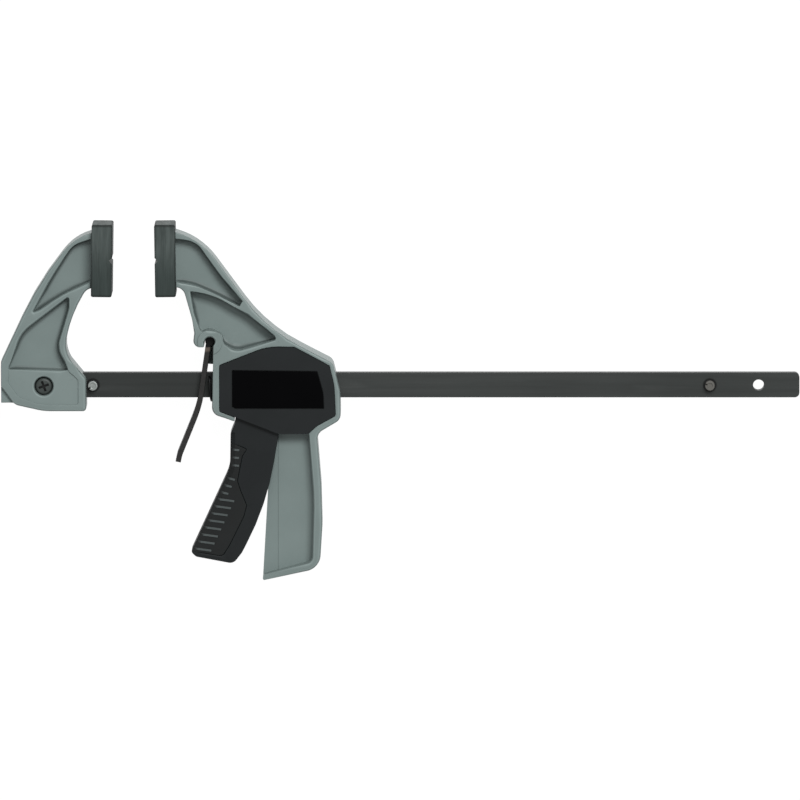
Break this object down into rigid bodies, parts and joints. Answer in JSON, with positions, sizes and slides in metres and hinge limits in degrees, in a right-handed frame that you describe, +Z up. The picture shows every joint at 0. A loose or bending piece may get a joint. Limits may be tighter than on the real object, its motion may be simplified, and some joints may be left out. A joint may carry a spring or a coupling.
{
  "type": "quick release bar clamp",
  "caption": "Small one-handed trigger bar clamp: ribbed plastic jaws with soft pads on a flat steel bar, a squeeze trigger that drives the jaw and a bent lever that releases it.",
  "frame": {"origin": "middle of the bounding box in X and Y, at the lowest point in Z: the clamp lies flat on its side", "axes": "+X along the bar from the fixed jaw to the bar's free end, +Y from the bar towards the jaws' pads, +Z up, out of the front cover"},
  "size_m": [0.3008, 0.1345, 0.02],
  "materials": {
    "grey_plastic": "satin moulded glass-filled nylon, grey",
    "black_plastic": "satin moulded plastic, black",
    "grip_rubber": "soft ribbed overmould, black",
    "pad_rubber": "soft dark grey moulded pad",
    "bar_steel": "black oxide finish on rolled flat steel",
    "dark_steel": "oiled dark steel",
    "lever_steel": "black oxide finish on bent strip steel",
    "bright_steel": "bright plain steel",
    "black_screw": "black zinc plated screw"
  },
  "bodies": {
    "bar": {"bar": "bar_steel", "fixed_jaw": "grey_plastic", "fixed_jaw_screw": "black_screw", "fixed_jaw_nut": "dark_steel", "fixed_pad": "pad_rubber", "front_stop_pin": "bright_steel", "rear_stop_pin": "dark_steel"},
    "sliding_jaw": {"jaw_body": "grey_plastic", "moving_pad": "pad_rubber", "front_cover": "black_plastic", "rear_cover": "black_plastic", "trigger_pin": "bright_steel", "drive_spring": "bright_steel", "brake_spring": "bright_steel"},
    "trigger": {"trigger": "black_plastic", "trigger_grip": "grip_rubber"},
    "drive_plates": {"drive_plate_1": "dark_steel", "drive_plate_2": "dark_steel", "drive_plate_3": "dark_steel"},
    "brake_lever": {"brake_lever": "lever_steel"}
  },
  "joints": [
    {"name": "jaw_slide", "type": "slide", "parent": "bar", "child": "sliding_jaw", "axis": [1, 0, 0], "range_m": [-0.0156, 0.1374]},
    {"name": "trigger_squeeze", "type": "hinge", "parent": "sliding_jaw", "child": "trigger", "pos_m": [-0.05235, 0.01555, 0.01], "axis": [0, 0, 1], "range_deg": [0, 16], "stiffness_Nm_per_rad": 0.3, "springref_deg": -17.19},
    {"name": "plate_feed", "type": "slide", "parent": "sliding_jaw", "child": "drive_plates", "axis": [1, 0, 0], "range_m": [0, 0.00263], "deforming": ["drive_spring"]},
    {"name": "brake_release", "type": "hinge", "parent": "sliding_jaw", "child": "brake_lever", "pos_m": [-0.07165, 0.02285, 0.01], "axis": [0, 0, 1], "range_deg": [0, 5], "stiffness_Nm_per_rad": 0.2, "springref_deg": -17.19, "deforming": ["brake_spring"]}
  ],
  "couplings": [
    {"joint": "plate_feed", "follows": "trigger_squeeze", "m_per_rad": 0.0093695}
  ]
}
